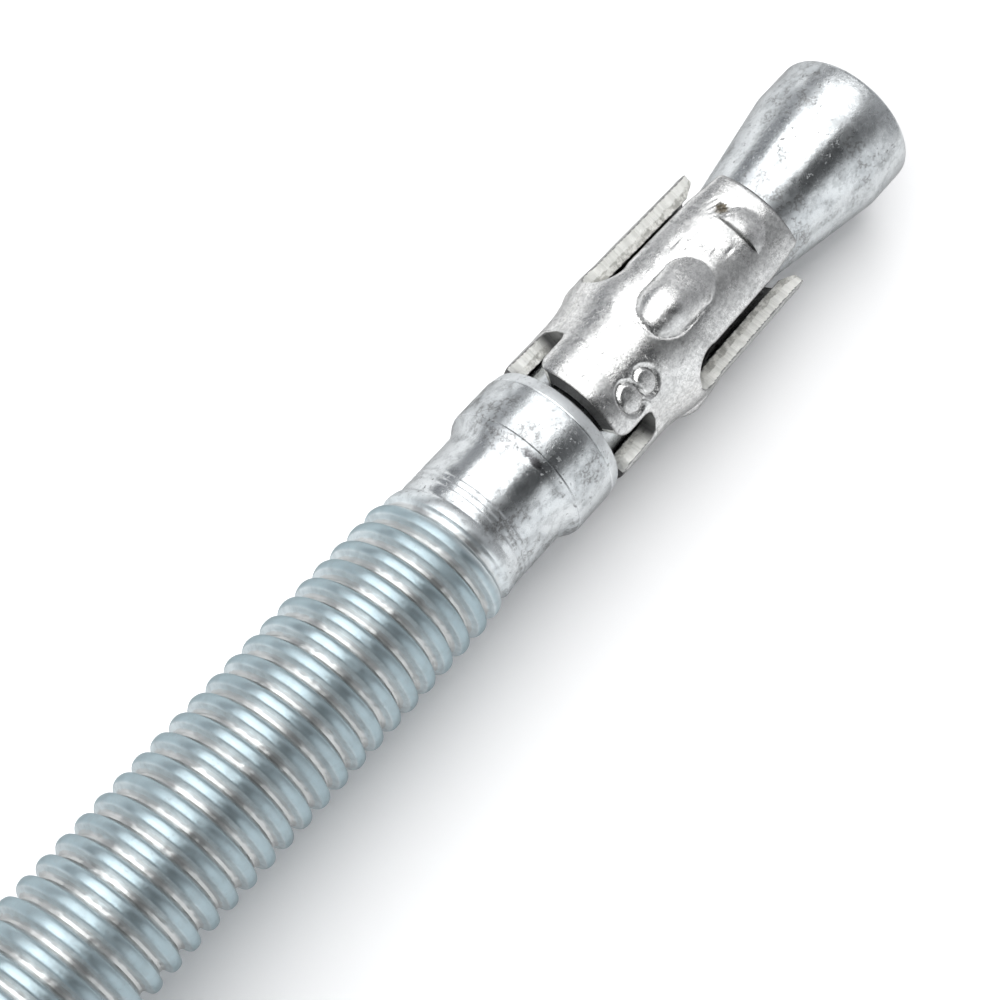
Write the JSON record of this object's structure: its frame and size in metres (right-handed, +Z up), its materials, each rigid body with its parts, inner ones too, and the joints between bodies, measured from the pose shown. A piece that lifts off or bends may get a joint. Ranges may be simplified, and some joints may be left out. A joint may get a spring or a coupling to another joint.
{
  "type": "wedge anchor",
  "caption": "M8 wedge anchor: stud with an expansion cone, neck, collar and screw thread, a slotted sheet-metal expansion clip with pressed bumps, a flat washer and a hexagon nut.",
  "frame": {"origin": "on the surface that the anchor lies on, under the middle of its bounding box", "axes": "+X from the nose towards the thread end, +Z up. The anchor's own axis rises 3.54 degrees above +X towards the thread end, because it lies on its nose rim and its wider washer."},
  "size_m": [0.0752, 0.016, 0.0161],
  "materials": {
    "stud_zinc": "bright zinc plating on cold-formed steel, glossy, with a faint blue tint",
    "clip_zinc": "satin galvanised sheet steel with bare sheared edges",
    "washer_zinc": "bright zinc plating on punched steel",
    "nut_zinc": "bright zinc plating on cold-formed steel"
  },
  "bodies": {
    "stud": {"stud": "stud_zinc"},
    "clip": {"expansion_clip": "clip_zinc"},
    "washer": {"washer": "washer_zinc"},
    "nut": {"hex_nut": "nut_zinc"}
  },
  "joints": [
    {"name": "clip_slide", "type": "slide", "parent": "stud", "child": "clip", "axis": [0.9981, 0, 0.0618], "range_m": [-0.00174, 0.0005]},
    {"name": "washer_slide", "type": "slide", "parent": "stud", "child": "washer", "axis": [0.9981, 0, 0.0618], "range_m": [-0.03198, 0.002]},
    {"name": "nut_spin", "type": "hinge", "parent": "washer", "child": "nut", "pos_m": [0.03221, 0, 0.00828], "axis": [0.9981, 0, 0.0618], "range_deg": [-9212, 577]}
  ],
  "couplings": [
    {"joint": "nut_spin", "follows": "washer_slide", "rad_per_m": 5026.5}
  ]
}
